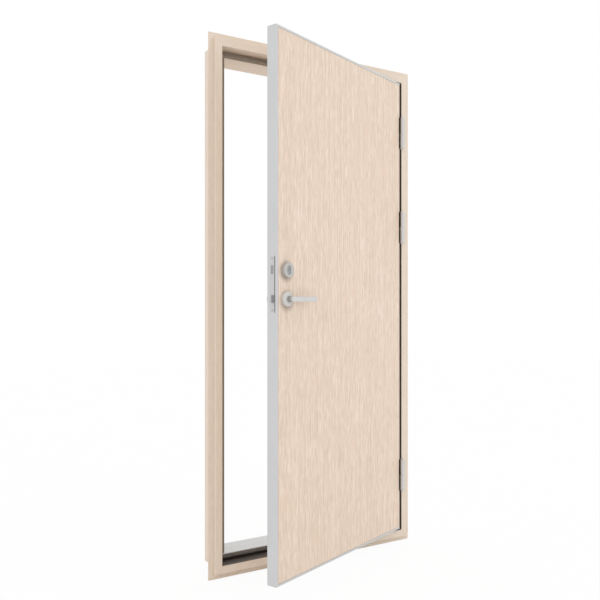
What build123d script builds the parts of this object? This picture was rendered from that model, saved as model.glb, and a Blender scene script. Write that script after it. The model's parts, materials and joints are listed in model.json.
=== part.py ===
"""Fire door: a steel-edged leaf hung on three lift-off hinges in a folded-steel frame.

Millimetres. +Z is up, the front (opening) side faces -Y and the hinges are at +X.
The origin is the middle of the lower edge of the wall flange, on the flange's back face.
"""

import os

from build123d import *

# Frame: one folded section on all four sides, measured inward from the flange's outer edge
frame_width = 1000.0
frame_height = 2138.0
frame_sheet = 2.0
flange_strip = 22.0  # flange that shows beside the raised face
face_raise = 18.0  # raised face in front of the flange
face_width = 30.0
body_inset = 38.0  # flange edge to the side that goes into the wall
body_depth = 118.0  # wall plane to the back of that side
stop_height = 27.0
stop_depth = 114.0  # face of the stop to the back of the frame
back_return = 25.0  # stop's edge to the step behind the side

# Sill: tread plate over the stop, strip on the rebate floor
tread_sheet = 1.5
rebate_strip_sheet = 2.0
rebate_strip_inset = 4.0

# Seals on the face of the stop
seal_room = 10.0  # between the shut leaf and the stop
seal_inset = 1.0  # from the stop's edge and from the rebate corner
seal_base = 2.0
seal_bulb_width = 13.0
seal_bulb_round = 4.5
seal_clear = 0.6  # off the shut leaf

# Fixing holes through the jambs
fixing_radius = 5.0
fixing_ends = (169.0, 589.0)  # from each end of the jamb

# Leaf and its running gaps, with the angle at which it stands open
leaf_thickness = 44.0
gap_hinge = 6.0
gap_lock = 7.0
gap_head = 6.0
gap_sill = 8.0
open_angle = 21.0
edge_sheet = 2.0
edge_band = 9.0  # lip of the edge channel on each face
panel_joint = 1.2

# Hinges
hinge_height = 142.0
upper_hinge_drop = 226.0  # middle of the hinge below the leaf's top
middle_hinge_drop = 654.0
lower_hinge_rise = 244.0  # above the leaf's lower edge
pin_forward = 11.0  # pin axis in front of the leaf's face
knuckle_radius = 9.0
knuckle_chamfer = 2.0
knuckle_gap = 0.6
pin_radius = 5.5
pin_running = 0.06
pin_length = 52.0
pin_end_room = 2.0
wing_depth = 32.0
wing_sheet = 2.5
notch_width = 10.0  # cut in the leaf's front corner beside each hinge
notch_depth = 14.0

# Lock, measured up from the leaf's lower edge and in from its lock edge
lever_height = 1034.0
cylinder_rise = 105.0
backset = 55.0
lock_depth = 20.0  # middle of the lock behind the leaf's front face
case_length = 84.0
case_height = 178.0
case_thickness = 18.0
faceplate_length = 204.0
faceplate_width = 20.0
faceplate_sheet = 3.0
plate_groove = 3.6  # open along the faceplate's front side
bolt_running = 0.3

# Latch bolt and dead bolt
latch_height = 26.0
latch_thickness = 12.0
latch_throw = 11.0
latch_tail = 20.0  # behind the faceplate
dead_height = 30.0
dead_thickness = 12.0
dead_length = 36.0
dead_chamfer = 1.0

# Strike plate in the lock jamb
strike_sheet = 2.5
strike_margin = 12.0
strike_width = 26.0
strike_room = 2.0  # round each bolt

# Lever handles with their roses, the same on both faces
rose_radius = 26.5
rose_height = 14.0
rose_chamfer = 2.0
neck_radius = 11.0
neck_running = 0.3
neck_off_face = 1.0
grip_front = 43.0  # front of the grip from the leaf's face
grip_thickness = 13.0
grip_height = 19.0
grip_heel = 9.0  # behind the turning axis
grip_reach = 136.0
grip_elbow_round = 6.0
grip_tip_round = 12.0
grip_edge = 1.5
spindle_side = 8.0
spindle_room = 3.0  # round the turning spindle in the leaf

# Key cylinders in their guard rings
ring_radius = 27.0
ring_height = 14.5
cylinder_width = 20.0
cylinder_tall = 32.0
cylinder_sink = 2.0  # below the ring's front
cylinder_room = 0.5
keyway_tall = 10.0
keyway_width = 2.0
keyway_depth = 4.0

# Places that several pieces share
half_width = frame_width / 2
opening_edge = flange_strip + face_width
stop_edge = opening_edge + stop_height
front_y = -(frame_sheet + face_raise)
rebate_depth = leaf_thickness + seal_room
stop_y = front_y + rebate_depth
stop_back = stop_y + stop_depth
back_inset = stop_edge - back_return
reveal_x = half_width - opening_edge
leaf_left = -reveal_x + gap_lock
leaf_right = reveal_x - gap_hinge
leaf_bottom = opening_edge + gap_sill
leaf_top = frame_height - opening_edge - gap_head
leaf_front = front_y
leaf_back = leaf_front + leaf_thickness
pin_x = reveal_x - gap_hinge / 2
pin_y = leaf_front - pin_forward
pin_axis = Axis((pin_x, pin_y, 0), (0, 0, 1))
lock_y = leaf_front + lock_depth
lever_x = leaf_left + backset
lever_z = leaf_bottom + lever_height
cylinder_z = lever_z + cylinder_rise
lock_z = (lever_z + cylinder_z) / 2
hinge_middles = {
    "upper": leaf_top - upper_hinge_drop,
    "middle": leaf_top - middle_hinge_drop,
    "lower": leaf_bottom + lower_hinge_rise,
}

os.makedirs("parts", exist_ok=True)


def save(piece, name):
    """Label one finished piece and write its file."""
    piece.label = name
    export_step(piece, f"parts/{name}.step")


def save_on_leaf(piece, name):
    """Swing a piece that was modelled with the leaf shut to the angle where the leaf rests."""
    save(piece.rotate(pin_axis, open_angle), name)


def sides(left, right, bottom, top):
    """Section plane and length of each side of an upright rectangle: local x inward, local y back."""
    width = right - left
    height = top - bottom
    return {
        "lock": (Plane((left, 0, bottom), x_dir=(1, 0, 0), z_dir=(0, 0, 1)), height),
        "hinge": (Plane((right, 0, top), x_dir=(-1, 0, 0), z_dir=(0, 0, -1)), height),
        "head": (Plane((left, 0, top), x_dir=(0, 0, -1), z_dir=(1, 0, 0)), width),
        "sill": (Plane((right, 0, bottom), x_dir=(0, 0, 1), z_dir=(-1, 0, 0)), width),
    }


def mitre(plane, length):
    """Cut both ends of a run along its corner bisectors."""
    far = plane.origin + plane.z_dir * length
    split(bisect_by=Plane(plane.origin, z_dir=plane.z_dir - plane.x_dir), keep=Keep.TOP)
    split(bisect_by=Plane(far, z_dir=-plane.z_dir - plane.x_dir), keep=Keep.TOP)


frame_sides = sides(-half_width, half_width, 0, frame_height)
leaf_sides = sides(leaf_left, leaf_right, leaf_bottom, leaf_top)


# Frame members: the folded section is hollow, with the flange doubled back into its side wall
outward_bends = [
    (flange_strip, front_y),
    (opening_edge, front_y),
    (stop_edge, stop_y),
    (stop_edge, stop_back),
    (back_inset, stop_back),
    (body_inset, body_depth),
]


def frame_member(side):
    plane, length = frame_sides[side]
    with BuildPart() as member:
        with BuildSketch(plane) as section:
            with BuildLine():
                Polyline(
                    (0, 0),
                    (0, -frame_sheet),
                    (flange_strip, -frame_sheet),
                    (flange_strip, front_y),
                    (opening_edge, front_y),
                    (opening_edge, stop_y),
                    (stop_edge, stop_y),
                    (stop_edge, stop_back),
                    (back_inset, stop_back),
                    (back_inset, body_depth),
                    (body_inset, body_depth),
                    (body_inset, 0),
                    close=True,
                )
            make_face()
            fillet([section.vertices().sort_by_distance(bend)[0] for bend in outward_bends], frame_sheet)
            with BuildLine():
                Polyline(
                    (flange_strip + frame_sheet, -frame_sheet),
                    (flange_strip + frame_sheet, front_y + frame_sheet),
                    (opening_edge - frame_sheet, front_y + frame_sheet),
                    (opening_edge - frame_sheet, stop_y + frame_sheet),
                    (stop_edge - frame_sheet, stop_y + frame_sheet),
                    (stop_edge - frame_sheet, stop_back - frame_sheet),
                    (back_inset + frame_sheet, stop_back - frame_sheet),
                    (back_inset + frame_sheet, body_depth - frame_sheet),
                    (body_inset + frame_sheet, body_depth - frame_sheet),
                    (body_inset + frame_sheet, -frame_sheet),
                    close=True,
                )
            make_face(mode=Mode.SUBTRACT)
        extrude(amount=length)
        mitre(plane, length)
    return member.part


fixing_y = (front_y + stop_y) / 2
fixing_heights = [height for end in fixing_ends for height in (end, frame_height - end)]


def fixing_holes(side_x, wall_x):
    """Round holes through a jamb's reveal, and square ones for the screws in the side wall behind it."""
    places = [(fixing_y, height) for height in fixing_heights]
    with BuildSketch(Plane.YZ.offset(side_x)) as holes:
        with Locations(*places):
            Circle(fixing_radius)
    extrude(holes.sketch, amount=2 * frame_sheet, both=True, mode=Mode.SUBTRACT)
    with BuildSketch(Plane.YZ.offset(wall_x)) as openings:
        with Locations(*places):
            Rectangle(2 * fixing_radius, 2 * fixing_radius)
    extrude(openings.sketch, amount=2 * frame_sheet, both=True, mode=Mode.SUBTRACT)


def slot(low, high):
    """Cut a box between two corners out of the piece at hand."""
    with Locations(Location(low)):
        Box(*[b - a for a, b in zip(low, high)], align=(Align.MIN,) * 3, mode=Mode.SUBTRACT)


strike_half = faceplate_length / 2 + strike_margin
strike_low = (-reveal_x - strike_sheet, lock_y - strike_width / 2, lock_z - strike_half)
strike_high = (-reveal_x, lock_y + strike_width / 2, lock_z + strike_half)

with BuildPart() as lock_jamb:
    add(frame_member("lock"))
    fixing_holes(-reveal_x, body_inset - half_width)
    slot(strike_low, strike_high)
save(lock_jamb.part, "lock_jamb")

with BuildPart() as hinge_jamb:
    add(frame_member("hinge"))
    fixing_holes(reveal_x, half_width - body_inset)
    for middle in hinge_middles.values():
        slot(
            (reveal_x, front_y, middle - hinge_height / 2),
            (reveal_x + wing_sheet, front_y + wing_depth, middle + hinge_height / 2),
        )
save(hinge_jamb.part, "hinge_jamb")

save(frame_member("head"), "head")
save(frame_member("sill"), "sill")

# Tread plate on top of the sill's stop, and the strip that lines the rebate floor
sill_plane, sill_length = frame_sides["sill"]
with BuildPart() as tread_plate:
    with BuildSketch(sill_plane):
        with Locations((stop_edge, stop_y)):
            Rectangle(tread_sheet, stop_depth, align=(Align.MIN, Align.MIN))
    extrude(amount=sill_length)
    mitre(sill_plane, sill_length)
save(tread_plate.part, "tread_plate")

with BuildPart() as rebate_strip:
    with Locations((0, (front_y + stop_y) / 2, opening_edge)):
        Box(
            2 * (reveal_x - rebate_strip_inset),
            rebate_depth - 2 * rebate_strip_inset,
            rebate_strip_sheet,
            align=(Align.CENTER, Align.CENTER, Align.MIN),
        )
save(rebate_strip.part, "rebate_strip")


# Seals: a flat strip on the stop's face, with a round-nosed bulb beside the opening
def seal(side):
    plane, length = frame_sides[side]
    with BuildPart() as strip:
        with BuildSketch(plane) as section:
            with Locations((stop_edge - seal_inset, stop_y)):
                Rectangle(seal_bulb_width, seal_room - seal_clear, align=(Align.MAX, Align.MAX))
            fillet(section.vertices().group_by(Axis.Y)[0], seal_bulb_round)
            with Locations((stop_edge - seal_inset, stop_y)):
                Rectangle(stop_height - 2 * seal_inset, seal_base, align=(Align.MAX, Align.MAX))
        extrude(amount=length)
        mitre(plane, length)
    return strip.part


save(seal("lock"), "lock_side_seal")
save(seal("hinge"), "hinge_side_seal")
save(seal("head"), "head_seal")
save(seal("sill"), "sill_seal")

# Strike plate with a mouth for each bolt
with BuildPart() as strike_plate:
    with BuildSketch(Plane.YZ.offset(-reveal_x)):
        with Locations((lock_y, lock_z)):
            Rectangle(strike_width, 2 * strike_half)
        with Locations((lock_y, lever_z)):
            Rectangle(
                latch_thickness + 2 * strike_room,
                latch_height + 2 * strike_room,
                mode=Mode.SUBTRACT,
            )
        with Locations((lock_y, cylinder_z)):
            Rectangle(
                dead_thickness + 2 * strike_room,
                dead_height + 2 * strike_room,
                mode=Mode.SUBTRACT,
            )
    extrude(amount=-strike_sheet)
save(strike_plate.part, "strike_plate")


# Hinges: each half is a let-in wing, a neck and a knuckle, and the frame half carries the pin
def hinge_half(middle, wing_x, on_leaf):
    low = middle - hinge_height / 2
    knuckle_height = (hinge_height - knuckle_gap) / 2
    knuckle_low = middle + knuckle_gap / 2 if on_leaf else low
    with BuildPart() as half:
        with BuildSketch(Plane.XY.offset(knuckle_low)):
            with Locations((pin_x, pin_y)):
                Circle(knuckle_radius)
        extrude(amount=knuckle_height)
        ends = half.edges().filter_by(GeomType.CIRCLE).sort_by(Axis.Z)
        chamfer(ends[-1] if on_leaf else ends[0], length=knuckle_chamfer)
        neck_low = knuckle_low if on_leaf else low + knuckle_chamfer
        with BuildSketch(Plane.XY.offset(neck_low)):
            with Locations((wing_x, pin_y)):
                Rectangle(wing_sheet, pin_forward, align=(Align.MIN, Align.MIN))
        extrude(amount=knuckle_height - knuckle_chamfer)
        with BuildSketch(Plane.XY.offset(low)):
            with Locations((wing_x, front_y)):
                Rectangle(wing_sheet, wing_depth, align=(Align.MIN, Align.MIN))
        extrude(amount=hinge_height)
        with BuildSketch(Plane.XY.offset(middle)):
            with Locations((pin_x, pin_y)):
                Circle(pin_radius + pin_running if on_leaf else pin_radius)
        if on_leaf:
            extrude(amount=pin_length + pin_end_room, mode=Mode.SUBTRACT)
        else:
            extrude(amount=pin_length)
            with BuildSketch(Plane.XY.offset(middle - knuckle_gap)):
                with Locations((pin_x, pin_y)):
                    Circle(pin_radius)
            extrude(amount=knuckle_gap)
    return half.part


for place, middle in hinge_middles.items():
    save(hinge_half(middle, reveal_x, False), f"{place}_hinge_frame_half")
    save_on_leaf(hinge_half(middle, leaf_right - wing_sheet, True), f"{place}_hinge_leaf_half")


# Leaf edges: a steel channel on each side, lipped over both faces
def leaf_edge(side):
    plane, length = leaf_sides[side]
    with BuildPart() as edge:
        with BuildSketch(plane) as section:
            with Locations((0, leaf_front)):
                Rectangle(edge_band, leaf_thickness, align=(Align.MIN, Align.MIN))
            fillet(section.vertices().group_by(Axis.X)[0], edge_sheet)
            with Locations((edge_sheet, leaf_front + edge_sheet)):
                Rectangle(
                    edge_band - edge_sheet,
                    leaf_thickness - 2 * edge_sheet,
                    align=(Align.MIN, Align.MIN),
                    mode=Mode.SUBTRACT,
                )
        extrude(amount=length)
        mitre(plane, length)
    return edge.part


def wing_pockets():
    """Rooms for the leaf's hinge wings, let in flush with its hinge edge, and the notches beside them."""
    for middle in hinge_middles.values():
        slot(
            (leaf_right - wing_sheet, leaf_front, middle - hinge_height / 2),
            (leaf_right, leaf_front + wing_depth, middle + hinge_height / 2),
        )
        slot(
            (leaf_right - notch_width, leaf_front, middle - hinge_height / 2),
            (leaf_right, leaf_front + notch_depth, middle + hinge_height / 2),
        )


faceplate_low = (leaf_left, lock_y - faceplate_width / 2, lock_z - faceplate_length / 2)
faceplate_high = (
    leaf_left + faceplate_sheet,
    lock_y + faceplate_width / 2,
    lock_z + faceplate_length / 2,
)

with BuildPart() as lock_stile:
    add(leaf_edge("lock"))
    slot(faceplate_low, faceplate_high)
    slot(
        (leaf_left, faceplate_low[1] - plate_groove, faceplate_low[2]),
        (leaf_left + edge_sheet, faceplate_low[1], faceplate_high[2]),
    )
save_on_leaf(lock_stile.part, "lock_stile")

with BuildPart() as hinge_stile:
    add(leaf_edge("hinge"))
    wing_pockets()
save_on_leaf(hinge_stile.part, "hinge_stile")

save_on_leaf(leaf_edge("head"), "top_rail")
save_on_leaf(leaf_edge("sill"), "bottom_rail")

# Core: a fire-resisting slab that fills the channels, with rooms for the lock and the hinge wings
case_low = (
    leaf_left + faceplate_sheet,
    lock_y - case_thickness / 2,
    lock_z - case_height / 2,
)
case_high = (
    leaf_left + faceplate_sheet + case_length,
    lock_y + case_thickness / 2,
    lock_z + case_height / 2,
)
face_plane = Plane((lever_x, leaf_front, lever_z), x_dir=(1, 0, 0), z_dir=(0, -1, 0))
cylinder_hole_tall = cylinder_tall + 2 * cylinder_room
cylinder_hole_width = cylinder_width + 2 * cylinder_room
spindle_hole_radius = spindle_side / 2 + spindle_room


def lock_holes():
    """Holes through the leaf's face for the spindle and for the key cylinder."""
    with BuildSketch(face_plane) as holes:
        Circle(spindle_hole_radius)
        with Locations((0, cylinder_rise)):
            SlotOverall(cylinder_hole_tall, cylinder_hole_width, rotation=90)
    extrude(holes.sketch, amount=-leaf_thickness, mode=Mode.SUBTRACT)


with BuildPart() as leaf_core:
    with Locations((leaf_left + edge_sheet, leaf_front + edge_sheet, leaf_bottom + edge_sheet)):
        Box(
            leaf_right - leaf_left - 2 * edge_sheet,
            leaf_thickness - 2 * edge_sheet,
            leaf_top - leaf_bottom - 2 * edge_sheet,
            align=(Align.MIN,) * 3,
        )
    slot(faceplate_low, faceplate_high)
    slot(case_low, case_high)
    wing_pockets()
    with BuildSketch(face_plane) as openings:
        Rectangle(2 * spindle_hole_radius, 2 * spindle_hole_radius)
        with Locations((0, cylinder_rise)):
            Rectangle(cylinder_hole_width, cylinder_hole_tall)
    extrude(openings.sketch, amount=-leaf_thickness, mode=Mode.SUBTRACT)
save_on_leaf(leaf_core.part, "leaf_core")


# Face panels: wood-faced sheets between the lips of the edge channels
def face_panel(front_face):
    inset = edge_band + panel_joint
    with BuildPart() as panel:
        with Locations((leaf_left + inset, front_face, leaf_bottom + inset)):
            Box(
                leaf_right - leaf_left - 2 * inset,
                edge_sheet,
                leaf_top - leaf_bottom - 2 * inset,
                align=(Align.MIN,) * 3,
            )
        lock_holes()
    return panel.part


save_on_leaf(face_panel(leaf_front), "front_panel")
save_on_leaf(face_panel(leaf_back - edge_sheet), "back_panel")

# Lock case, with a guide for each bolt and a turning hole for the spindle
latch_guide = latch_tail + latch_throw + bolt_running
dead_guide = dead_length - faceplate_sheet + bolt_running


def bolt_guide(height, bolt_thickness, bolt_height, depth):
    """Room for a bolt, from the back of the faceplate into the lock case."""
    slot(
        (
            case_low[0],
            lock_y - bolt_thickness / 2 - bolt_running,
            height - bolt_height / 2 - bolt_running,
        ),
        (
            case_low[0] + depth,
            lock_y + bolt_thickness / 2 + bolt_running,
            height + bolt_height / 2 + bolt_running,
        ),
    )


with BuildPart() as lock_case:
    with Locations(Location(case_low)):
        Box(case_length, case_thickness, case_height, align=(Align.MIN,) * 3)
    bolt_guide(lever_z, latch_thickness, latch_height, latch_guide)
    bolt_guide(cylinder_z, dead_thickness, dead_height, dead_guide)
    with BuildSketch(face_plane):
        Circle(spindle_hole_radius)
    extrude(amount=-leaf_thickness, mode=Mode.SUBTRACT)
save_on_leaf(lock_case.part, "lock_case")

with BuildPart() as faceplate:
    with BuildSketch(Plane.YZ.offset(leaf_left)):
        with Locations((lock_y, lock_z)):
            Rectangle(faceplate_width, faceplate_length)
        with Locations((lock_y, lever_z)):
            Rectangle(
                latch_thickness + 2 * bolt_running,
                latch_height + 2 * bolt_running,
                mode=Mode.SUBTRACT,
            )
        with Locations((lock_y, cylinder_z)):
            Rectangle(
                dead_thickness + 2 * bolt_running,
                dead_height + 2 * bolt_running,
                mode=Mode.SUBTRACT,
            )
    extrude(amount=faceplate_sheet)
save_on_leaf(faceplate.part, "faceplate")

# Latch bolt: its back slopes, so that the strike pushes it in as the leaf shuts
latch_end = leaf_left + faceplate_sheet + latch_tail
latch_front_y = lock_y - latch_thickness / 2
latch_back_y = lock_y + latch_thickness / 2
latch_tip_flat = latch_thickness / 4

with BuildPart() as latch_bolt:
    with BuildSketch(Plane.XY.offset(lever_z - latch_height / 2)):
        with BuildLine():
            Polyline(
                (latch_end, latch_front_y),
                (latch_end, latch_back_y),
                (leaf_left, latch_back_y),
                (leaf_left - latch_throw, latch_front_y + latch_tip_flat),
                (leaf_left - latch_throw, latch_front_y),
                close=True,
            )
        make_face()
    extrude(amount=latch_height)
save_on_leaf(latch_bolt.part, "latch_bolt")

with BuildPart() as dead_bolt:
    with Locations((leaf_left, lock_y, cylinder_z)):
        Box(
            dead_length,
            dead_thickness,
            dead_height,
            align=(Align.MIN, Align.CENTER, Align.CENTER),
        )
    chamfer(dead_bolt.faces().sort_by(Axis.X)[0].edges(), length=dead_chamfer)
save_on_leaf(dead_bolt.part, "dead_bolt")

# Handle sets: the front face's pieces, and the back face's as their mirror images
leaf_middle = Plane((0, leaf_front + leaf_thickness / 2, 0), x_dir=(1, 0, 0), z_dir=(0, 1, 0))


def save_both_faces(piece, name):
    """Write a piece of the front face and its mirror image on the back face."""
    save_on_leaf(mirror(piece, about=leaf_middle, mode=Mode.PRIVATE), f"back_{name}")
    save_on_leaf(piece, f"front_{name}")


with BuildPart() as lever_rose:
    with BuildSketch(face_plane):
        Circle(rose_radius)
    extrude(amount=rose_height)
    chamfer(lever_rose.faces().sort_by(Axis.Y)[0].edges(), length=rose_chamfer)
    with BuildSketch(face_plane):
        Circle(neck_radius + neck_running)
    extrude(amount=rose_height, mode=Mode.SUBTRACT)
save_both_faces(lever_rose.part, "lever_rose")

with BuildPart() as lever_neck:
    with BuildSketch(face_plane.offset(neck_off_face)):
        Circle(neck_radius)
    extrude(amount=grip_front - grip_thickness / 2 - neck_off_face)
    chamfer(lever_neck.faces().sort_by(Axis.Y)[0].edges(), length=neck_radius - grip_height / 2)

with BuildPart() as lever:
    with BuildSketch(Plane.XY.offset(lever_z - grip_height / 2)) as plan:
        with Locations((lever_x - grip_heel, leaf_front - grip_front)):
            Rectangle(grip_heel + grip_reach, grip_thickness, align=(Align.MIN, Align.MIN))
        fillet(plan.vertices().group_by(Axis.X)[0].sort_by(Axis.Y)[0], grip_elbow_round)
    extrude(amount=grip_height)
    fillet(lever.edges().filter_by(Axis.Y).group_by(Axis.X)[-1].sort_by(Axis.Z)[0], grip_tip_round)
    chamfer(lever.faces().sort_by(Axis.Z)[-1].edges(), length=grip_edge)
    chamfer(lever.faces().sort_by(Axis.Z)[0].edges().sort_by(Axis.X)[:-1], length=grip_edge)
    add(lever_neck.part)
save_both_faces(lever.part, "lever")

with BuildPart() as spindle:
    with BuildSketch(face_plane.offset(neck_off_face)):
        Rectangle(spindle_side, spindle_side)
    extrude(amount=-(leaf_thickness + 2 * neck_off_face))
save_on_leaf(spindle.part, "spindle")

cylinder_plane = Plane((lever_x, leaf_front, cylinder_z), x_dir=(1, 0, 0), z_dir=(0, -1, 0))

with BuildPart() as cylinder_ring:
    with BuildSketch(cylinder_plane):
        Circle(ring_radius)
        SlotOverall(cylinder_hole_tall, cylinder_hole_width, rotation=90, mode=Mode.SUBTRACT)
    extrude(amount=ring_height)
save_both_faces(cylinder_ring.part, "cylinder_ring")


# Key cylinders: each runs from inside its ring to the face of the lock case
def key_cylinder(inward):
    front = cylinder_plane.offset(ring_height - cylinder_sink)
    with BuildPart() as cylinder:
        with BuildSketch(front):
            SlotOverall(cylinder_tall, cylinder_width, rotation=90)
        extrude(amount=-(ring_height - cylinder_sink + inward))
        with BuildSketch(front):
            Rectangle(keyway_width, keyway_tall)
        extrude(amount=-keyway_depth, mode=Mode.SUBTRACT)
    return cylinder.part


front_inward = lock_depth - case_thickness / 2
back_inward = leaf_thickness - lock_depth - case_thickness / 2
save_on_leaf(key_cylinder(front_inward), "front_cylinder")
save_on_leaf(mirror(key_cylinder(back_inward), about=leaf_middle, mode=Mode.PRIVATE), "back_cylinder")
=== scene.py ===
import json
import math

import bpy
from mathutils import Matrix, Vector


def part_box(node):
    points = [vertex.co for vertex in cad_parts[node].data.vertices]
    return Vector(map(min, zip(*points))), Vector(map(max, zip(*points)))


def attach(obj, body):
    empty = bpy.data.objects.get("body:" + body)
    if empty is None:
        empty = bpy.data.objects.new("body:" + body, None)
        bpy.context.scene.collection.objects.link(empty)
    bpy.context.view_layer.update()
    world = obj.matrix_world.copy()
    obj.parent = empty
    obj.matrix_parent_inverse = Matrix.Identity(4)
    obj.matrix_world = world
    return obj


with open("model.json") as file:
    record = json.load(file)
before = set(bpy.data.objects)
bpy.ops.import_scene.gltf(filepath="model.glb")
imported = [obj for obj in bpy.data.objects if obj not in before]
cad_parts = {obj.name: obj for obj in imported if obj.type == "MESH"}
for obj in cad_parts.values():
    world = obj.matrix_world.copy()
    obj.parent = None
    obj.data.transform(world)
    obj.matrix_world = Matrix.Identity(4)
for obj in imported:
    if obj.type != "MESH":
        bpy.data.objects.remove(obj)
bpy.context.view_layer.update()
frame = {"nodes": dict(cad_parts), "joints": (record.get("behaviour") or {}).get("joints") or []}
nodes = frame["nodes"]
bpy.ops.object.select_all(action="DESELECT")


# Frame members
# Two jambs, a head and a sill, each folded from 2 mm steel sheet and mitred at the corners.
# A bleached oak pattern is printed on the steel, faint, with its grain along each member.
def paint(red, green, blue):
    """A colour as it shows on the surface, 0 to 255, in the linear values that shaders take."""
    shown = [level / 255 for level in (red, green, blue)]
    return (*[((level + 0.055) / 1.055) ** 2.4 for level in shown], 1.0)


class Tone:
    """One value of a finish as it varies over the surface; sums and products add Math nodes."""

    def __init__(self, tree, socket):
        self.tree = tree
        self.socket = socket

    def node(self, kind, settings, values, output=0):
        """Add a node: its settings first, then a number or another tone for each socket."""
        made = self.tree.nodes.new(kind)
        for setting, choice in settings.items():
            setattr(made, setting, choice)
        for place, value in values.items():
            if isinstance(value, Tone):
                self.tree.links.new(value.socket, made.inputs[place])
            else:
                made.inputs[place].default_value = value
        return Tone(self.tree, made.outputs[output] if made.outputs else None)

    def math(self, operation, first, second):
        return self.node("ShaderNodeMath", {"operation": operation}, {0: first, 1: second})

    def __add__(self, other):
        return self.math("ADD", self, other)

    __radd__ = __add__

    def __sub__(self, other):
        return self.math("SUBTRACT", self, other)

    def __rsub__(self, other):
        return self.math("SUBTRACT", other, self)

    def __mul__(self, other):
        return self.math("MULTIPLY", self, other)

    __rmul__ = __mul__

    def between(self, low, high):
        """0 below low, 1 above high, with a soft step between them."""
        soft = {"interpolation_type": "SMOOTHSTEP"}
        return self.node("ShaderNodeMapRange", soft, {0: self, 1: low, 2: high})

    def blend(self, first, second):
        """The first colour where this value is 0 and the second where it is 1."""
        return self.node("ShaderNodeMix", {"data_type": "RGBA"}, {0: self, 6: first, 7: second}, 2)

    def part(self, axis):
        """One coordinate of a place."""
        return self.node("ShaderNodeSeparateXYZ", {}, {"Vector": self}, axis)

    def away(self, keep, middle):
        """How far a place is from a middle, counting only the axes whose keep is 1."""
        flat = self.node("ShaderNodeVectorMath", {"operation": "MULTIPLY"}, {0: self, 1: keep})
        flat_middle = [axis * kept for axis, kept in zip(middle, keep)]
        ends = {0: flat, 1: flat_middle}
        return self.node("ShaderNodeVectorMath", {"operation": "DISTANCE"}, ends, "Value")

    def streaks(self, sizes, detail):
        """Noise on a place in the piece, with cells of these sizes in metres."""
        scale = [1 / size for size in sizes]
        spread = self.node("ShaderNodeMapping", {}, {"Vector": self, "Scale": scale})
        return self.node("ShaderNodeTexNoise", {}, {"Vector": spread, "Scale": 1.0, "Detail": detail})

    def bump(self, strength, distance):
        """This value as a raised skin."""
        values = {"Height": self, "Strength": strength, "Distance": distance}
        return self.node("ShaderNodeBump", {}, values)


STILL = (0.0, (0.0, 0.0, 0.0))


def start_finish(name, swing=STILL):
    """A new material, and the place that its pattern reads, swung back to the shut leaf if asked."""
    material = bpy.data.materials.new(name)
    material.use_nodes = True
    material.node_tree.nodes.clear()
    place = Tone(material.node_tree, None).node("ShaderNodeTexCoord", {}, {}, "Object")
    if swing != STILL:
        turn, shift = swing
        values = {"Vector": place, "Rotation": (0, 0, turn), "Location": shift}
        place = place.node("ShaderNodeMapping", {}, values)
    return material, place


def end_finish(place, values):
    """Close a material with one surface shader."""
    shader = place.node("ShaderNodeBsdfPrincipled", {}, values)
    place.node("ShaderNodeOutputMaterial", {}, {"Surface": shader})


def dress(material, *names):
    """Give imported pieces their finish."""
    for name in names:
        nodes[name].material_slots[0].material = material


def oak_colour(place, grain, ground, pale, deep, figure):
    """Bleached oak: a slow drift of tone, short dashes on long straight lines, and fine pores."""

    def along(across, length):
        sizes = [across] * 3
        sizes[grain] = length
        return sizes

    drift = place.streaks(along(0.07, 0.9), 2.0).between(0.35, 0.65)
    dashes = place.streaks(along(0.0058, 0.034), 1.0)
    strokes = place.streaks(along(0.0050, 0.14), 1.0)
    lines = place.streaks(along(0.0046, 0.80), 1.0)
    pores = place.streaks(along(0.0013, 0.030), 1.0).between(0.55, 0.70)
    figured = 0.40 * dashes + 0.30 * strokes + 0.30 * lines
    flecks = figured.between(0.50, 0.62)
    shades = (1 - figured).between(0.50, 0.62)
    colour = (drift * (0.12 * figure)).blend(ground, deep)
    colour = (shades * (0.75 * figure)).blend(colour, deep)
    colour = (flecks * (0.85 * figure)).blend(colour, pale)
    colour = (pores * (0.30 * figure)).blend(colour, deep)
    return colour, flecks, pores


def oak(name, grain, ground, pale, deep, figure):
    """Oak on its own, satin lacquered, a little duller in the pores."""
    material, place = start_finish(name)
    colour, flecks, pores = oak_colour(place, grain, ground, pale, deep, figure)
    end_finish(
        place,
        {
            "Base Color": colour,
            "Roughness": 0.46 + 0.12 * pores - 0.05 * flecks,
            "Normal": (1 - pores).bump(0.08 * figure, 0.0003),
        },
    )
    return material


UPRIGHT = 2
LEVEL = 0
frame_ground = paint(230, 214, 197)
frame_pale = paint(238, 224, 209)
frame_deep = paint(219, 202, 183)
faint = 0.45
jamb_oak = oak("jamb_oak", UPRIGHT, frame_ground, frame_pale, frame_deep, faint)
head_oak = oak("head_oak", LEVEL, frame_ground, frame_pale, frame_deep, faint)
dress(jamb_oak, "lock_jamb", "hinge_jamb")
dress(head_oak, "head", "sill")


# Tread plate and rebate strip
# The tread is a strip of mill aluminium laid over the sill's stop, rolled with fine lines along it.
# The strip on the rebate floor below it is steel with a dark grey powder coat.
def satin_metal(name, dull, bright, sizes, metallic, roughness, swing=STILL):
    """Metal with fine lines from rolling or brushing, and faint cloudy handling marks."""
    material, place = start_finish(name, swing)
    lines = place.streaks(sizes, 2.0)
    clouds = place.streaks([0.05] * 3, 2.0).between(0.3, 0.7)
    end_finish(
        place,
        {
            "Base Color": lines.between(0.3, 0.7).blend(dull, bright),
            "Metallic": metallic,
            "Roughness": roughness + 0.06 * clouds + 0.06 * lines,
            "Normal": lines.bump(0.05, 0.0002),
        },
    )
    return material


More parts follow.
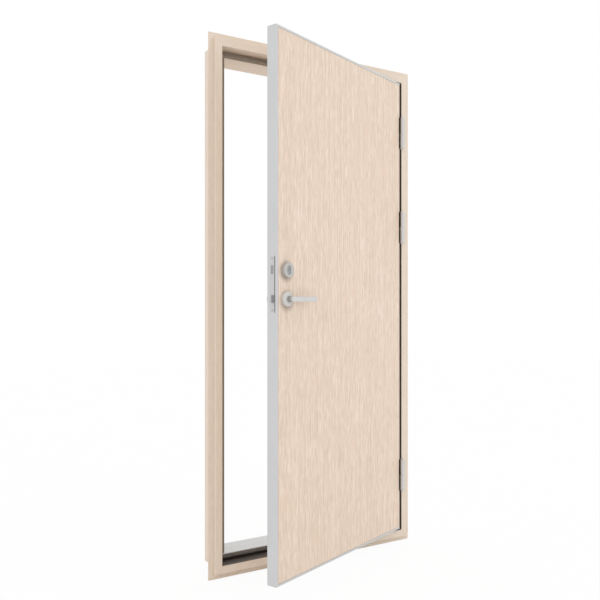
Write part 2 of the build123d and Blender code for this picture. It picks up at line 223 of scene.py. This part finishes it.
def powder_coat(name, ground, light, roughness, swing=STILL):
    """Baked paint: a fine orange-peel skin with a slow drift of tone."""
    material, place = start_finish(name, swing)
    drift = place.streaks([0.25] * 3, 2.0).between(0.3, 0.7)
    peel = place.streaks([0.0022] * 3, 1.0)
    end_finish(
        place,
        {
            "Base Color": (drift * 0.7 + peel * 0.3).blend(ground, light),
            "Roughness": roughness + 0.10 * peel + 0.05 * drift,
            "Normal": peel.bump(0.05, 0.0003),
        },
    )
    return material


tread_lines = [0.2, 0.0015, 0.0015]
tread_dull = paint(205, 206, 206)
tread_bright = paint(218, 219, 219)
tread_metal = satin_metal("tread_aluminium", tread_dull, tread_bright, tread_lines, 0.7, 0.38)
dress(tread_metal, "tread_plate")
rebate_grey = powder_coat("rebate_grey", paint(84, 80, 76), paint(92, 88, 84), 0.55)
dress(rebate_grey, "rebate_strip")


# Seals
# Extruded rubber on the face of the stop all round: a flat foot with a round bulb by the opening,
# which the shut leaf squeezes. The sill's: worn grey bulb, near-black foot as painted shade. Others are
# brown-grey.
def rubber(name, foot_from, foot, dull, bloomed):
    """Rubber with a dusty bloom on the bulb, and a foot behind it in a given tone; the sill's foot is
    painted shade.
    """
    material, place = start_finish(name)
    bloom = place.streaks([0.012] * 3, 3.0)
    grain = place.streaks([0.0008] * 3, 1.0)
    skin = bloom.between(0.35, 0.7).blend(dull, bloomed)
    end_finish(
        place,
        {
            "Base Color": place.part("Y").between(foot_from, foot_from + 0.002).blend(skin, foot),
            "Roughness": 0.62 + 0.2 * bloom,
            "Normal": grain.bump(0.12, 0.0002),
        },
    )
    return material


foot_deep = 0.0055
foot_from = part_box("head_seal")[1].y - foot_deep
brown_foot = paint(142, 131, 120)
brown_dull = paint(134, 124, 114)
brown_bloomed = paint(146, 136, 126)
brown_seal = rubber("brown_seal", foot_from, brown_foot, brown_dull, brown_bloomed)
# Painted shade: the sill seal's foot is near black for the shade deep in the rebate under the bulb.
sill_foot_painted_shade = paint(34, 31, 29)
grey_dull = paint(98, 94, 90)
grey_bloomed = paint(112, 108, 103)
seal_with_shaded_foot = rubber("seal_with_shaded_foot", foot_from, sill_foot_painted_shade, grey_dull, grey_bloomed)
dress(brown_seal, "lock_side_seal", "hinge_side_seal", "head_seal")
dress(seal_with_shaded_foot, "sill_seal")


# Hinges
# Three lift-off hinges of drawn steel, zinc plated: a wing with the pin is screwed into the jamb, and
# a wing with the socket into the leaf, painted as shade on its inner side in the leaf's notch beside
# it.
leaf_swing = next(joint for joint in frame["joints"] if joint["name"] == "leaf_swing")
pin = Vector((leaf_swing["pos_m"][0], leaf_swing["pos_m"][1], 0))
open_angle = math.radians(-leaf_swing["range_deg"][0])
to_open = Matrix.Rotation(open_angle, 3, "Z")
to_shut = Matrix.Rotation(-open_angle, 3, "Z")
SHUT = (-open_angle, tuple(pin - to_shut @ pin))
zinc_lines = [0.0012, 0.0012, 0.05]
zinc_dull = paint(206, 205, 203)
zinc_bright = paint(216, 215, 213)
notch_painted_shade = paint(42, 35, 30)
hinge_steel = satin_metal("hinge_zinc", zinc_dull, zinc_bright, zinc_lines, 0.25, 0.42)
hinge_middles = {"upper": 1.854, "middle": 1.426, "lower": 0.304}
dress(hinge_steel, *[f"{place}_hinge_frame_half" for place in hinge_middles])
leaf_front = -0.020
leaf_right = 0.442
leaf_zinc, zinc_place = start_finish("leaf_zinc", SHUT)
zinc_drawn = zinc_place.streaks(zinc_lines, 2.0)
zinc_colour = zinc_drawn.between(0.3, 0.7).blend(zinc_dull, zinc_bright)
# Painted shade: near black, matt and not metallic where the wing sits back in the leaf's notch.
inner_side = 1 - zinc_place.part("X").between(leaf_right - 0.0020, leaf_right - 0.0010)
in_notch_shade = inner_side * zinc_place.part("Y").between(pin.y + 0.0040, pin.y + 0.0060)
end_finish(
    zinc_place,
    {
        "Base Color": in_notch_shade.blend(zinc_colour, notch_painted_shade),
        "Metallic": 0.25 - 0.25 * in_notch_shade,
        "Roughness": 0.42 + 0.06 * zinc_drawn + 0.3 * in_notch_shade,
        "Normal": zinc_drawn.bump(0.05, 0.0002),
    },
)
dress(leaf_zinc, *[f"{place}_hinge_leaf_half" for place in hinge_middles])


def pick(piece, test):
    """Select the faces of the piece in edit mode that pass a test on their middle and normal."""
    bpy.ops.object.mode_set(mode="OBJECT")
    for vertex in piece.data.vertices:
        vertex.select = False
    for edge in piece.data.edges:
        edge.select = False
    for face in piece.data.polygons:
        face.select = test(face.center, face.normal)
    bpy.ops.object.mode_set(mode="EDIT")
    bpy.ops.mesh.select_mode(type="FACE")


def only(piece):
    """Make a piece the one that is selected and active."""
    bpy.ops.object.select_all(action="DESELECT")
    piece.select_set(True)
    bpy.context.view_layer.objects.active = piece


def block(size, middle):
    """A plain block, to cut with or to shape further."""
    bpy.ops.object.select_all(action="DESELECT")
    bpy.ops.mesh.primitive_cube_add(size=1.0, location=middle)
    made = bpy.context.object
    made.scale = size
    bpy.ops.object.transform_apply(location=True, rotation=True, scale=True)
    return made


def cut(piece, *cutters):
    """Take cutters out of a piece and clear them away."""
    only(piece)
    for cutter in cutters:
        taken = piece.modifiers.new("cut", "BOOLEAN")
        taken.operation = "DIFFERENCE"
        taken.solver = "EXACT"
        taken.object = cutter
        bpy.ops.object.modifier_apply(modifier=taken.name)
        bpy.data.objects.remove(cutter)


def together(pieces):
    """Join copies into one piece."""
    only(pieces[0])
    for piece in pieces:
        piece.select_set(True)
    bpy.ops.object.join()
    return bpy.context.object


def finish_piece(piece, name, material, body):
    """Name a new piece, smooth its round walls, give it its finish and hang it on its body."""
    piece.name = name
    piece.data.name = name
    only(piece)
    bpy.ops.object.shade_smooth_by_angle(angle=math.radians(32))
    piece.data.materials.clear()
    piece.data.materials.append(material)
    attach(piece, body)


head_radius = 0.0042
head_thick = 0.0010
head_sunk = 0.00042
recess_long = 0.0042
recess_wide = 0.0009
recess_tall = 0.0012
bpy.ops.mesh.primitive_cylinder_add(
    vertices=24, radius=head_radius, depth=head_thick, location=(0, 0, -head_sunk)
)
screw = bpy.context.object
bpy.ops.object.transform_apply(location=True, rotation=True, scale=True)
pick(screw, lambda middle, normal: normal.z > 0.9)
bpy.ops.mesh.inset(thickness=0.0007)
bpy.ops.transform.translate(value=(0, 0, 0.00025))
bpy.ops.mesh.inset(thickness=0.0012)
bpy.ops.transform.translate(value=(0, 0, 0.00010))
bpy.ops.object.mode_set(mode="OBJECT")
recess_middle = (0, 0, 0.0002)
recess = block((recess_long, recess_wide, recess_tall), recess_middle)
cross_recess = block((recess_wide, recess_long, recess_tall), recess_middle)
cut(screw, recess, cross_recess)


def screws(name, places, facing, turn, material, body):
    """Copies of the screw set flush in a plate, each turned further than the last, as one piece."""
    copies = []
    for count, place in enumerate(places):
        only(screw)
        bpy.ops.object.duplicate(linked=False)
        copy = bpy.context.object
        seat = facing.to_track_quat("Z", "Y").to_matrix() @ Matrix.Rotation(turn + 0.9 * count, 3, "Z")
        copy.matrix_world = Matrix.Translation(place) @ seat.to_4x4()
        bpy.ops.object.transform_apply(location=True, rotation=True, scale=True)
        copies.append(copy)
    finish_piece(together(copies), name, material, body)


def on_leaf(x, y, z):
    """A place given on the shut leaf, where it is with the leaf at rest."""
    return pin + to_open @ (Vector((x, y, z)) - pin)


screw_dull = paint(168, 168, 169)
screw_bright = paint(190, 190, 191)
screw_steel = satin_metal("screw_steel", screw_dull, screw_bright, [0.002] * 3, 0.6, 0.34)
reveal_x = 0.448
off_jamb = Vector((-1, 0, 0))
off_hinge_edge = to_open @ Vector((1, 0, 0))
staggered = [(-0.008, -0.050), (0.003, 0.0), (-0.008, 0.050)]
for place, middle in hinge_middles.items():
    on_frame = [Vector((reveal_x, y, middle + rise)) for y, rise in staggered]
    frame_screws = f"{place}_hinge_frame_screws"
    screws(frame_screws, on_frame, off_jamb, 0.3, screw_steel, "frame")
    on_edge = [on_leaf(leaf_right, y, middle + rise) for y, rise in staggered]
    leaf_screws = f"{place}_hinge_leaf_screws"
    screws(leaf_screws, on_edge, off_hinge_edge, 1.1, screw_steel, "leaf")


# Gap strips
# Thin brown-black strips on the hinge jamb's reveal, in lengths between the hinges, are painted shade:
# dark sheets for the hinge gap's shade. A soft tapered lip along the lock-side seal closes its gap to
# smoke.
# Painted shade: the strips' dark brown stands for the shade inside the hinge gap.
gap_shade_sheet, strip_place = start_finish("gap_shade_sheet")
strip_bloom = strip_place.streaks([0.02] * 3, 2.0)
end_finish(
    strip_place,
    {
        "Base Color": strip_bloom.between(0.35, 0.7).blend(paint(86, 73, 63), paint(98, 84, 73)),
        "Roughness": 0.7 + 0.1 * strip_bloom,
        "Normal": strip_place.streaks([0.001] * 3, 1.0).bump(0.1, 0.0002),
    },
)
strip_thick = 0.0012
strip_deep = 0.0138
strip_y = -0.0129
strip_edge = 0.0015
strip_crown = 0.0004
strip_low = 0.056
strip_high = 2.082
past_hinge = 0.073
strip_stops = [strip_low]
for middle in sorted(hinge_middles.values()):
    strip_stops += [middle - past_hinge, middle + past_hinge]
strip_stops.append(strip_high)
lengths = []
for low, high in zip(strip_stops[::2], strip_stops[1::2]):
    strip_middle = (reveal_x - strip_thick / 2, strip_y, (low + high) / 2)
    length = block((strip_thick, strip_deep, high - low), strip_middle)
    pick(length, lambda middle, normal: normal.x < -0.9)
    bpy.ops.mesh.inset(thickness=strip_edge)
    bpy.ops.transform.translate(value=(-strip_crown, 0, 0))
    bpy.ops.object.mode_set(mode="OBJECT")
    lengths.append(length)
finish_piece(together(lengths), "hinge_gap_shade_strips", gap_shade_sheet, "frame")

lip_from = -0.4225
lip_wide = 0.0062
lip_thick = 0.0030
lip_y = 0.0316
lip_low = 0.084
lip_high = 2.057
lip_taper = 0.4
lip_lean = 0.0006
lip_middle = (lip_from + lip_wide / 2, lip_y, (lip_low + lip_high) / 2)
lip = block((lip_wide, lip_thick, lip_high - lip_low), lip_middle)
pick(lip, lambda middle, normal: normal.x > 0.9)
bpy.ops.transform.resize(value=(1, lip_taper, 1))
bpy.ops.transform.translate(value=(0, -lip_lean, 0))
bpy.ops.object.mode_set(mode="OBJECT")
lip_dull = paint(136, 122, 109)
lip_rubber = rubber("lip_rubber", foot_from, lip_dull, lip_dull, paint(146, 132, 119))
finish_piece(lip, "lock_side_seal_lip", lip_rubber, "frame")


# Leaf core
# A slab of dense fire-resisting mineral board that fills the leaf. It shows only as the dark line
# round the face panels, beside the faceplate and in the notches; its near black is partly painted
# shade.
core_board, core_place = start_finish("core_board", SHUT)
core_grain = core_place.streaks([0.003] * 3, 3.0)
end_finish(
    core_place,
    {
        # Partly painted shade: the board is near black so the notches and gaps it shows in read dark.
        "Base Color": core_grain.between(0.3, 0.7).blend(paint(32, 26, 22), paint(44, 37, 32)),
        "Roughness": 0.8 + 0.1 * core_grain,
        "Normal": core_grain.bump(0.3, 0.0005),
    },
)
dress(core_board, "leaf_core")


# Leaf edges
# Four steel channels round the leaf, lipped over both faces and mitred at the corners.
# They are powder coated in a light grey; on the hinge side the front lip carries the oak face.
edge_low = paint(203, 204, 204)
edge_high = paint(209, 210, 210)
edge_grey = powder_coat("edge_grey", edge_low, edge_high, 0.42, SHUT)
dress(edge_grey, "lock_stile", "top_rail", "bottom_rail")


# Face panels
# Steel sheets faced with bleached oak, one on each side of the leaf, between the edge lips.
# The grain runs upright in short pale dashes, and a soft ring of painted shade darkens it round the
# lock.
lever_x = -0.386
lever_z = 1.094
cylinder_z = 1.199
leaf_ground = paint(231, 210, 191)
leaf_pale = paint(243, 226, 210)
leaf_deep = paint(217, 195, 174)
leaf_rosy = paint(236, 209, 191)
# Painted shade: the darker tone the leaf's oak turns to round the rose and the cylinder.
leaf_painted_shade = paint(164, 149, 136)
shade_offset_right = 0.004
shade_fade_out = 0.050
shade_full_within = 0.024


def leaf_oak_colour(place):
    """The leaf's oak, with a rosy drift and a soft ring of painted shade round the rose and the
    cylinder.
    """
    colour, flecks, pores = oak_colour(place, UPRIGHT, leaf_ground, leaf_pale, leaf_deep, 1.0)
    rosy = place.streaks([0.05, 0.05, 0.09], 1.0).between(0.5, 0.75)
    colour = (rosy * 0.35).blend(colour, leaf_rosy)
    over_face = (1, 0, 1)
    # Painted shade round the rose and cylinder, centred a little right and below each like a cast
    # shadow.
    from_lever = place.away(over_face, (lever_x + shade_offset_right, 0, lever_z - 0.007))
    from_cylinder = place.away(over_face, (lever_x + shade_offset_right, 0, cylinder_z - 0.003))
    lever_shade = 1 - from_lever.between(shade_full_within, shade_fade_out)
    cylinder_shade = 1 - from_cylinder.between(shade_full_within, shade_fade_out)
    colour = ((lever_shade + cylinder_shade) * 0.70).blend(colour, leaf_painted_shade)
    return colour, flecks, pores


leaf_oak, leaf_place = start_finish("leaf_oak", SHUT)
leaf_colour, leaf_flecks, leaf_pores = leaf_oak_colour(leaf_place)
end_finish(
    leaf_place,
    {
        "Base Color": leaf_colour,
        "Roughness": 0.46 + 0.12 * leaf_pores - 0.05 * leaf_flecks,
        "Normal": (1 - leaf_pores).bump(0.08, 0.0003),
    },
)
dress(leaf_oak, "front_panel", "back_panel")

lip_oak, lip_place = start_finish("lip_oak", SHUT)
lip_colour, _, lip_pores = leaf_oak_colour(lip_place)
# Painted shade: the oak on the front lip darkens over its last 10 mm towards the hinge gap.
bead_painted_shade = paint(64, 54, 47)
toward_gap_shade = lip_place.part("X").between(leaf_right - 0.0100, leaf_right - 0.0020)
on_lip = 1 - lip_place.part("Y").between(leaf_front + 0.0004, leaf_front + 0.0008)
end_finish(
    lip_place,
    {
        "Base Color": on_lip.blend(edge_low, toward_gap_shade.blend(lip_colour, bead_painted_shade)),
        "Roughness": 0.46 + 0.12 * lip_pores,
        "Normal": (1 - lip_pores).bump(0.06, 0.0003),
    },
)
dress(lip_oak, "hinge_stile")


# Lock case, faceplate and strike plate
# A mortice lock: its case is let into the leaf's edge behind a satin steel faceplate.
# The strike plate is let into the lock jamb's reveal opposite. Two screws hold each plate.
plate_lines = [0.0012, 0.0012, 0.06]
plate_dull = paint(199, 199, 199)
plate_bright = paint(209, 209, 209)
plate_steel = satin_metal("plate_steel", plate_dull, plate_bright, plate_lines, 0.3, 0.40)
dress(plate_steel, "faceplate", "strike_plate")
leaf_left = -0.441
lock_y = 0.0
lock_z = 1.1465
off_lock_edge = to_open @ Vector((-1, 0, 0))
plate_places = [on_leaf(leaf_left, lock_y, lock_z + rise) for rise in (-0.093, 0.093)]
screws("faceplate_screws", plate_places, off_lock_edge, 0.5, screw_steel, "leaf")
strike_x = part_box("strike_plate")[1].x
strike_places = [Vector((strike_x, lock_y, lock_z + rise)) for rise in (-0.105, 0.105)]
screws("strike_screws", strike_places, -off_jamb, 0.2, screw_steel, "frame")
bpy.data.objects.remove(screw)


# Latch bolt and dead bolt
# The latch is cast steel with a sloping back, the dead bolt is square steel bar with eased edges.
# Both are nickel plated, with fine lines along their travel from sliding in the lock.
bolt_lines = [0.03, 0.0012, 0.0012]
bolt_dull = paint(154, 154, 156)
bolt_bright = paint(170, 170, 172)
bolt_steel = satin_metal("bolt_nickel", bolt_dull, bolt_bright, bolt_lines, 0.4, 0.36, SHUT)
dress(bolt_steel, "latch_bolt", "dead_bolt", "spindle", "lock_case")


# Levers and roses
# Solid steel levers on both faces, turning in round roses that are screwed through the leaf.
# The levers are brushed lengthwise and polished by use, and the roses have a pale satin lacquer.
lever_lines = [0.04, 0.04, 0.0009]
lever_steel, lever_place = start_finish("lever_steel", SHUT)
brushed = lever_place.streaks(lever_lines, 2.0)
worn = lever_place.streaks([0.03] * 3, 2.0).between(0.3, 0.7)
lever_dull = paint(206, 206, 205)
lever_bright = paint(216, 216, 215)
# Painted shade: the neck, near the leaf, is a darker grey than the grip.
neck_painted_shade = paint(174, 174, 173)
lever_colour = brushed.between(0.3, 0.7).blend(lever_dull, lever_bright)
leaf_middle = leaf_front + 0.022
past_shaded_neck = lever_place.away((0, 1, 0), (0, leaf_middle, 0)).between(0.050, 0.054)
end_finish(
    lever_place,
    {
        "Base Color": past_shaded_neck.blend(neck_painted_shade, lever_colour),
        "Metallic": 0.85,
        "Roughness": 0.16 + 0.06 * worn + 0.06 * brushed,
        "Normal": brushed.bump(0.05, 0.0002),
    },
)
rose_lines = [0.0009, 0.04, 0.0009]
rose_dull = paint(210, 209, 207)
rose_bright = paint(220, 219, 217)
rose_steel = satin_metal("rose_steel", rose_dull, rose_bright, rose_lines, 0.0, 0.26, SHUT)
dress(lever_steel, "front_lever", "back_lever")
dress(rose_steel, "front_lever_rose", "back_lever_rose")


# Key cylinders
# Oval cylinders of nickel-plated brass in turned steel guard rings, one on each face.
# Each has a round plug in it, a little proud, with the slot for the key.
ring_dull = paint(184, 183, 180)
ring_bright = paint(196, 195, 192)
ring_steel = satin_metal("ring_steel", ring_dull, ring_bright, rose_lines, 0.30, 0.28, SHUT)
dress(ring_steel, "front_cylinder_ring", "back_cylinder_ring")
dress(bolt_steel, "front_cylinder", "back_cylinder")
front_face = leaf_front - 0.0125
back_face = 2 * leaf_middle - front_face
plug_radius = 0.0072
plug_thick = 0.0008
plug_edge = 0.0004
plug_crown = 0.0002
keyway = (0.0020, 0.0040, 0.0100)
facing_out = (math.pi / 2, 0, 0)
for side, face, outward in (("front", front_face, -1), ("back", back_face, 1)):
    bpy.ops.object.select_all(action="DESELECT")
    seat = (lever_x, face, cylinder_z)
    bpy.ops.mesh.primitive_cylinder_add(
        vertices=40, radius=plug_radius, depth=plug_thick, location=seat, rotation=facing_out
    )
    plug = bpy.context.object
    bpy.ops.object.transform_apply(location=True, rotation=True, scale=True)
    pick(plug, lambda middle, normal: normal.y * outward > 0.9)
    bpy.ops.mesh.inset(thickness=plug_edge)
    bpy.ops.transform.translate(value=(0, outward * plug_crown, 0))
    bpy.ops.object.mode_set(mode="OBJECT")
    cut(plug, block(keyway, seat))
    plug.matrix_world = Matrix.Translation(pin) @ to_open.to_4x4() @ Matrix.Translation(-pin)
    only(plug)
    bpy.ops.object.transform_apply(location=True, rotation=True, scale=True)
    finish_piece(plug, f"{side}_key_plug", bolt_steel, "leaf")


# Floor, light and camera
# A plain pale floor that runs out to a white surround, an even soft light from all round with a
# broad lamp in front, and the camera at waist height to the left of the door.
bpy.ops.object.select_all(action="DESELECT")
bpy.ops.mesh.primitive_plane_add(size=24.0, location=(0, 0, -0.001))
floor = bpy.context.object
floor.name = "floor"
floor_finish, floor_place = start_finish("floor_finish")
floor_clouds = floor_place.streaks([0.6] * 3, 2.0).between(0.3, 0.7)
floor_colour = floor_clouds.blend(paint(244, 244, 243), paint(247, 247, 247))
floor_skin = floor_place.node("ShaderNodeBsdfDiffuse", {}, {"Color": floor_colour})
floor_white = floor_place.node("ShaderNodeEmission", {}, {"Color": (1, 1, 1, 1), "Strength": 1.0})
seen_straight = floor_place.node("ShaderNodeLightPath", {}, {}, "Is Camera Ray")
seen_in_gloss = floor_place.node("ShaderNodeLightPath", {}, {}, "Is Glossy Ray")
seen_through = floor_place.node("ShaderNodeLightPath", {}, {}, "Is Transmission Ray")
shadow_kept = 0.06
floor_share = (seen_straight + seen_in_gloss + seen_through) * (1 - shadow_kept)
floor_mix = floor_place.node("ShaderNodeMixShader", {}, {0: floor_share, 1: floor_skin, 2: floor_white})
floor_place.node("ShaderNodeOutputMaterial", {}, {"Surface": floor_mix})
floor.data.materials.append(floor_finish)

world = bpy.data.worlds.new("studio")
bpy.context.scene.world = world
world.use_nodes = True
world.node_tree.nodes.clear()
sky = Tone(world.node_tree, None)
sky_white = sky.node("ShaderNodeBackground", {}, {"Color": (1, 1, 1, 1), "Strength": 1.0})
sky.node("ShaderNodeOutputWorld", {}, {"Surface": sky_white})

bpy.ops.object.light_add(type="AREA", location=(2.4, -3.6, 2.6))
lamp = bpy.context.object
lamp.data.shape = "DISK"
lamp.data.size = 2.6
lamp.data.energy = 8.0
lamp.rotation_euler = (Vector((0, 0, 1.0)) - lamp.location).to_track_quat("-Z", "Y").to_euler()

camera_data = bpy.data.cameras.new("camera")
camera_data.lens = 43.535
camera_data.sensor_width = 36.0
camera_data.shift_y = 0.01296
camera_data.clip_end = 100.0
camera = bpy.data.objects.new("camera", camera_data)
camera.location = (-1.667666, -2.596246, 1.062341)
camera.rotation_euler = (math.radians(90), 0, math.radians(-31.434))
bpy.context.scene.collection.objects.link(camera)
bpy.context.scene.camera = camera
bpy.context.scene.view_settings.view_transform = "Standard"
